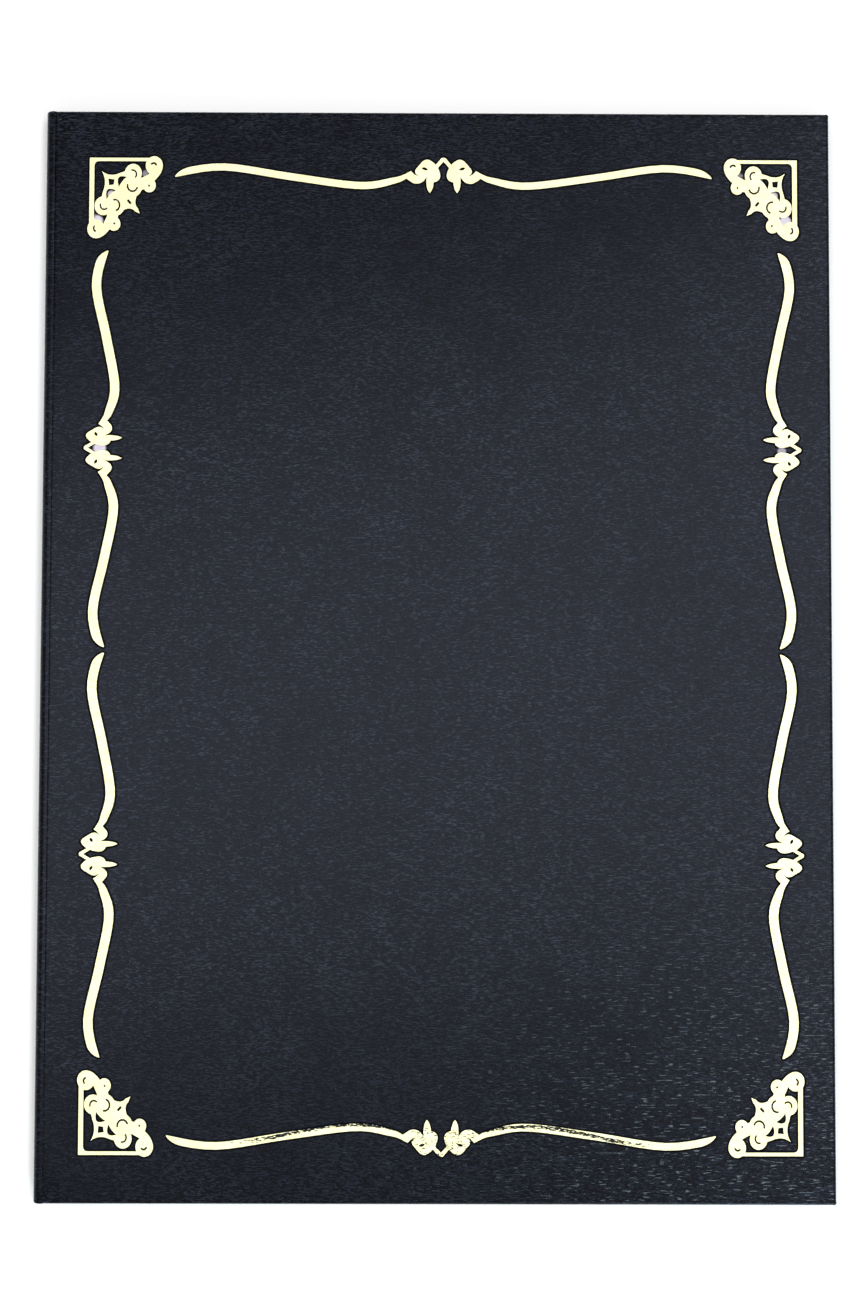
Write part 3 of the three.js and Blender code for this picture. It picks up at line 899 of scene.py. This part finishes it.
def lofted(name, material, slot, section, half_length, stations, round_ends):
    """A strip drawn along Y. section(y) gives the two lines of x, z points that it lies between."""
    shape, rows = Shape(), []
    outer, inner = (np.array(line) for line in section(half_length))
    thick = np.linalg.norm(outer - inner, axis=1).mean() / 2 if round_ends else 0.0
    bends = np.linspace(0, math.pi / 2, 5) if round_ends else [0.0]
    ends = [
        (half_length - thick + thick * math.sin(bend), max(END_SHARE, math.cos(bend)))
        for bend in bends
    ]
    between = np.linspace(-ends[0][0], ends[0][0], stations)[1:-1]
    for y, share in [(-y, s) for y, s in reversed(ends)] + [(y, 1.0) for y in between] + ends:
        outer, inner = (np.array(line) for line in section(y))
        middle = (outer + inner) / 2
        ring = [shape.point(x, y, z) for x, z in middle + (outer - middle) * share]
        ring += [shape.point(x, y, z) for x, z in (middle + (inner - middle) * share)[::-1]]
        rows.append(ring + ring[:1])
    for one, other in zip(rows, rows[1:]):
        shape.strip(one, other)
    for ring, turned in ((rows[0], 1), (rows[-1], -1)):
        for at in range(len(outer) - 1):
            shape.face([ring[at], ring[at + 1], ring[-at - 3], ring[-at - 2]][::turned])
    return shape.piece(name, material, slot)


def dress(nodes, material):
    """Gives solids of the frame their material."""
    for node in nodes:
        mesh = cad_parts[node].data
        mesh.materials.clear()
        mesh.materials.append(material)


class HOLDER_OT_covers(bpy.types.Operator):
    """Makes the leatherette of both covers, with the stamped border's relief in the front one"""

    bl_idname = "holder.covers"
    bl_label = "Covers"

    def execute(self, context):
        sizes = context.scene.holder_sizes
        material = leatherette_material(context.scene.holder_colours)
        outer = box_of(FOIL_NODES[0])[1][2] + sizes.face_rise / MM
        inner = box_of("front_leatherette")[0][2]
        cover = Cover("front_leatherette", sizes, outer, inner)
        front = cover.build("leather_front", material, self.relief(sizes))
        self.leave_film(front)
        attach(front, "front_cover")
        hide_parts("front_leatherette")
        low, high = box_of("back_leatherette")
        cover = Cover("back_leatherette", sizes, low[2], high[2])
        back = cover.build("leather_back", material)
        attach(back, "back_cover")
        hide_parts("back_leatherette")
        return {"FINISHED"}

    def relief(self, sizes):
        """Points round the foil in x and y, their depths, how pressed each is (which also darkens
        it as painted shade), and the edges.
        """
        slope, sunk = sizes.press_slope / MM, sizes.press_depth / MM
        offsets = (*PRESS_ROWS, slope, slope + PRESS_HALO)
        points, depths, marks, all_edges = [], [], [], []
        for node in FOIL_NODES:
            edges = top_edges(node)
            kept = {}
            for place, gap in zip(*rim_points(edges, offsets, PRESS_SPACING)):
                kept.setdefault(tuple(np.round(place / PRESS_MERGE)), (place, gap))
            places, away = (np.array(each) for each in zip(*kept.values()))
            points.append(places)
            depths.append(sunk * (1 - eased(away, PRESS_FLOOR, slope)))
            marks.append(1 - eased(away, slope * PRESS_SHADE, slope + PRESS_HALO))
            all_edges.append(edges)
        return [np.concatenate(each) for each in (points, depths, marks, all_edges)]

    def leave_film(self, front):
        """Marks the gaps between scrolls where the foil left a pale film."""
        places = places_of(front.data)
        film = np.zeros(len(places))
        for x, y, radius, strength in FILM_SPOTS:
            away = np.hypot(places[:, 0] - x, places[:, 1] - y)
            film = np.maximum(film, strength * (1 - eased(away, radius * 0.7, radius)))
        mark_points(front, "residue", film)


class HOLDER_OT_spine(bpy.types.Operator):
    """Makes the spine's folded leatherette and its lining, in a front half and a back half"""

    bl_idname = "holder.spine"
    bl_label = "Spine"

    def execute(self, context):
        sizes, colours = context.scene.holder_sizes, context.scene.holder_colours
        skin, radius, strip = sizes.skin / MM, sizes.fold_radius / MM, sizes.strip / MM
        groove, rise = sizes.groove / MM, sizes.face_rise / MM
        low, high = box_of("spine_leatherette")
        face, top, half = low[0], high[2], high[1]
        board = box_of("front_board")[0][0]
        lining_low, lining_high = box_of("front_lining")
        middle = top / 2
        turn = np.linspace(math.pi / 2, math.pi, 11)

        def fold(reach, *first):
            """A line from its first points round the front fold to the middle of the spine."""
            x, z = face + radius, top - radius
            arc = [(x + reach * math.cos(a), z + reach * math.sin(a)) for a in turn]
            return [*first, *arc, (x - reach, middle)]

        def skin_section(y):
            deep = groove * groove_share(y)
            lip, edge, rest = top + rise - deep, board - SKIN_LAP, board - SKIN_REST
            return (
                fold(radius, (edge, lip), (rest, top - SKIN_DIP * deep)),
                fold(radius - skin, (edge, lip - skin), (rest, top - skin - SKIN_SLACK)),
            )

        def hollow_section(y):
            hug, wall, end = radius - skin - GLUE, board - GLUE, lining_low[2] - GLUE
            crest = top - radius + hug
            return (
                fold(hug, (wall, end), (wall, crest)),
                fold(hug - strip, (wall - strip, end), (wall - strip, crest - strip)),
            )

        def strip_section(y):
            hug, wall = radius - skin - strip - 2 * GLUE, board - strip - 2 * GLUE
            left, lap = lining_low[0] - LINING_GAP, lining_high[2] + GLUE
            crest, inside, below = top - radius + hug, wall - strip, lap - strip
            return (
                fold(hug, (left, lap), (wall, lap), (wall, crest)),
                fold(hug - strip, (left, below), (inside, below), (inside, crest - strip)),
            )

        leather, paper = leatherette_material(colours), lining_material(colours)
        for part, mirrored, body in (
            ("front", False, "front_cover"),
            ("back", True, "back_cover"),
        ):
            def level(z, mirrored=mirrored):
                """A height in the front half, or the one that mirrors it in the back half."""
                return top - z if mirrored else z

            def placed(section, level=level):
                return lambda y: [[(x, level(z)) for x, z in line] for line in section(y)]

            piece = lofted(
                f"leather_spine_{part}", leather, "leatherette", placed(skin_section),
                half, SKIN_STATIONS, True,
            )
            rest_grain(piece)
            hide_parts("spine_leatherette")
            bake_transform(piece)
            hollow = lofted(
                f"leather_hollow_{part}", leather, "leatherette", placed(hollow_section),
                half - HOLLOW_INSET, INSIDE_STATIONS, False,
            )
            rest_grain(hollow)
            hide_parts("spine_leatherette")
            lined = lofted(
                f"strip_{part}", paper, "lining_paper", placed(strip_section),
                lining_high[1] - STRIP_INSET, INSIDE_STATIONS, False,
            )
            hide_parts("spine_lining")
            for inside in (hollow, lined):
                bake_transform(inside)
        return {"FINISHED"}


class HOLDER_OT_foil(bpy.types.Operator):
    """Gives the stamped border its gold foil"""

    bl_idname = "holder.foil"
    bl_label = "Foil border"

    def execute(self, context):
        dress(FOIL_NODES, foil_material(context.scene.holder_colours))
        return {"FINISHED"}


class HOLDER_OT_boards(bpy.types.Operator):
    """Gives the two boards their grey pulp"""

    bl_idname = "holder.boards"
    bl_label = "Boards"

    def execute(self, context):
        dress(("front_board", "back_board"), board_material(context.scene.holder_colours))
        return {"FINISHED"}


class HOLDER_OT_linings(bpy.types.Operator):
    """Gives the linings of the two covers their moire paper"""

    bl_idname = "holder.linings"
    bl_label = "Linings"

    def execute(self, context):
        dress(("front_lining", "back_lining"), lining_material(context.scene.holder_colours))
        return {"FINISHED"}


class HOLDER_OT_clear_sheet(bpy.types.Operator):
    """Gives the sheet over the certificate its clear film"""

    bl_idname = "holder.clear_sheet"
    bl_label = "Clear sheet"

    def execute(self, context):
        dress(("clear_sheet",), film_material(context.scene.holder_colours))
        return {"FINISHED"}


class HOLDER_OT_ribbons(bpy.types.Operator):
    """Makes the four satin ribbons, each laid across a corner of the back lining and tucked in"""

    bl_idname = "holder.ribbons"
    bl_label = "Ribbons"

    def execute(self, context):
        sizes = context.scene.holder_sizes
        satin = satin_material(context.scene.holder_colours)
        width, reach = sizes.ribbon_width / MM, sizes.ribbon_reach / MM
        tail, thick = sizes.ribbon_tail / MM, sizes.ribbon_thick / MM
        low, high = box_of("back_lining")
        sheet_high = box_of("clear_sheet")[1]
        edge_z, under_z = high[2] + RIBBON_GAP, low[2] - RIBBON_GAP - thick
        band_z = sheet_high[2] + SHEET_GAP
        climb = high[0] - sheet_high[0] + RIBBON_RAMP
        round_edge = (edge_z - under_z) / 2
        half_turn = math.pi * round_edge
        slant = math.sqrt(2)
        half_face = reach / slant
        overrun = (tail + half_turn) * slant
        bend = np.linspace(0, half_turn * slant, 7)[1:]
        tuck = np.linspace(bend[-1], overrun, 5)[1:]

        def laid(along, q):
            """The distances from the lining's two edges and the height of a place on the ribbon:
            along it from its middle, and q across it."""
            past = max(0.0, abs(along) - (half_face + q)) / slant
            sides = [reach / 2 + way * along / slant + q / slant for way in (1, -1)]
            near = min(sides)
            at = sides.index(near)
            if past == 0:
                crown = RIBBON_CROWN * (1 - (2 * q / width) ** 2)
                z = edge_z + (band_z - edge_z + crown) * float(eased(near, 0.0, climb))
            elif past < half_turn:
                angle = past / round_edge
                sides[at] = -round_edge * math.sin(angle)
                z = edge_z - round_edge * (1 - math.cos(angle))
            else:
                sides[at] = past - half_turn
                z = under_z
            return (*sides, z)

        for node in RIBBON_NODES:
            to_fore = 1 if node.endswith("fore") else -1
            to_head = 1 if "head" in node else -1
            edge_x = high[0] if to_fore > 0 else low[0]
            shape, rows = Shape(), []
            for q in np.linspace(-width / 2, width / 2, 9):
                face = half_face + q
                ends = face + np.concatenate([bend, tuck])
                row = []
                for along in np.concatenate([-ends[::-1], np.linspace(-face, face, 25), ends]):
                    from_side, from_head, z = laid(along, q)
                    x, y = edge_x - to_fore * from_side, to_head * (high[1] - from_head)
                    row.append(shape.point(x, y, z, weave=(along * MM, q * MM, 0)))
                rows.append(row)
            for one, other in zip(rows, rows[1:]):
                shape.strip(one, other, flip=to_fore * to_head < 0)
            piece = shape.piece(node.replace("ribbon", "satin"), satin, "satin_ribbon")
            solid = piece.modifiers.new("Thickness", "SOLIDIFY")
            solid.thickness, solid.offset = thick * MM, 1
            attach(piece, "back_cover")
            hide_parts(node)
        return {"FINISHED"}


class HOLDER_OT_stage(bpy.types.Operator):
    """Sets the floor, the soft studio light and the camera over the closed holder"""

    bl_idname = "holder.stage"
    bl_label = "Stage"

    def execute(self, context):
        scene = context.scene
        scene.view_settings.view_transform = "Standard"
        self.floor(scene.holder_colours)
        self.world(scene)
        for lamp in LAMPS:
            self.lamp(*lamp)
        self.camera(scene)
        return {"FINISHED"}

    def floor(self, colours):
        ways = ((-1, -1), (1, -1), (1, 1), (-1, 1))
        corners = [(x * FLOOR_REACH, y * FLOOR_REACH, FLOOR_LEVEL) for x, y in ways]
        mesh = bpy.data.meshes.new("floor")
        mesh.from_pydata(corners, [], [(0, 1, 2, 3)])
        mesh.materials.append(floor_material(colours))
        floor = bpy.data.objects.new("floor", mesh)
        bpy.context.collection.objects.link(floor)

    def world(self, scene):
        """An even dim dome that turns white towards the horizon."""
        world = bpy.data.worlds.new("studio")
        world.use_nodes = True
        tree = world.node_tree
        tree.nodes.clear()
        way = add_node(tree, "TexCoord").outputs["Generated"]
        rise = add_node(tree, "SeparateXYZ", {0: way}).outputs["Z"]
        strength = add_node(
            tree, "MapRange",
            {"Value": rise, "From Min": 0.3, "From Max": 0.1, "To Min": 0.43, "To Max": 1},
            interpolation_type="SMOOTHSTEP",
        ).outputs[0]
        dome = add_node(tree, "Background", {"Color": (1, 1, 1, 1), "Strength": strength})
        add_node(tree, "OutputWorld", {"Surface": dome.outputs[0]})
        scene.world = world

    def lamp(self, name, place, target, sides, watts, tint, spin):
        """A soft box at a place, turned to its target and by spin degrees about that way."""
        data = bpy.data.lights.new(name, "AREA")
        data.shape, data.energy, data.color = "RECTANGLE", watts, tint
        data.size, data.size_y = sides
        lamp = bpy.data.objects.new(name, data)
        lamp.location = place
        aim = (Vector(target) - Vector(place)).to_track_quat("-Z", "Y").to_matrix()
        lamp.rotation_euler = (aim @ Matrix.Rotation(math.radians(spin), 3, "Z")).to_euler()
        bpy.context.collection.objects.link(lamp)

    def camera(self, scene):
        data = bpy.data.cameras.new("camera")
        data.lens, data.sensor_width, data.clip_start = 50, 36, 0.01
        camera = bpy.data.objects.new("camera", data)
        turn = Matrix(CAMERA_AXES).transposed().to_quaternion().to_matrix().to_4x4()
        camera.matrix_world = Matrix.Translation(CAMERA_PLACE) @ turn
        bpy.context.collection.objects.link(camera)
        scene.camera = camera


class HOLDER_PT_panel(bpy.types.Panel):
    """Lists the steps that dress the holder"""

    bl_label = "Certificate holder"
    bl_idname = "HOLDER_PT_panel"
    bl_space_type = "VIEW_3D"
    bl_region_type = "UI"
    bl_category = "Holder"

    def draw(self, context):
        for operator in OPERATORS:
            self.layout.operator(operator.bl_idname)


OPERATORS = (
    HOLDER_OT_stage,
    HOLDER_OT_covers,
    HOLDER_OT_spine,
    HOLDER_OT_foil,
    HOLDER_OT_boards,
    HOLDER_OT_linings,
    HOLDER_OT_clear_sheet,
    HOLDER_OT_ribbons,
)
CLASSES = (HolderSizes, HolderColours, *OPERATORS, HOLDER_PT_panel)


def register():
    for each in CLASSES:
        bpy.utils.register_class(each)
    bpy.types.Scene.holder_sizes = PointerProperty(type=HolderSizes)
    bpy.types.Scene.holder_colours = PointerProperty(type=HolderColours)


def unregister():
    del bpy.types.Scene.holder_colours
    del bpy.types.Scene.holder_sizes
    for each in reversed(CLASSES):
        bpy.utils.unregister_class(each)


def main():
    register()
    bpy.ops.holder.stage()
    bpy.ops.holder.covers()
    bpy.ops.holder.spine()
    bpy.ops.holder.foil()
    bpy.ops.holder.boards()
    bpy.ops.holder.linings()
    bpy.ops.holder.clear_sheet()
    bpy.ops.holder.ribbons()


if __name__ == "__main__":
    main()
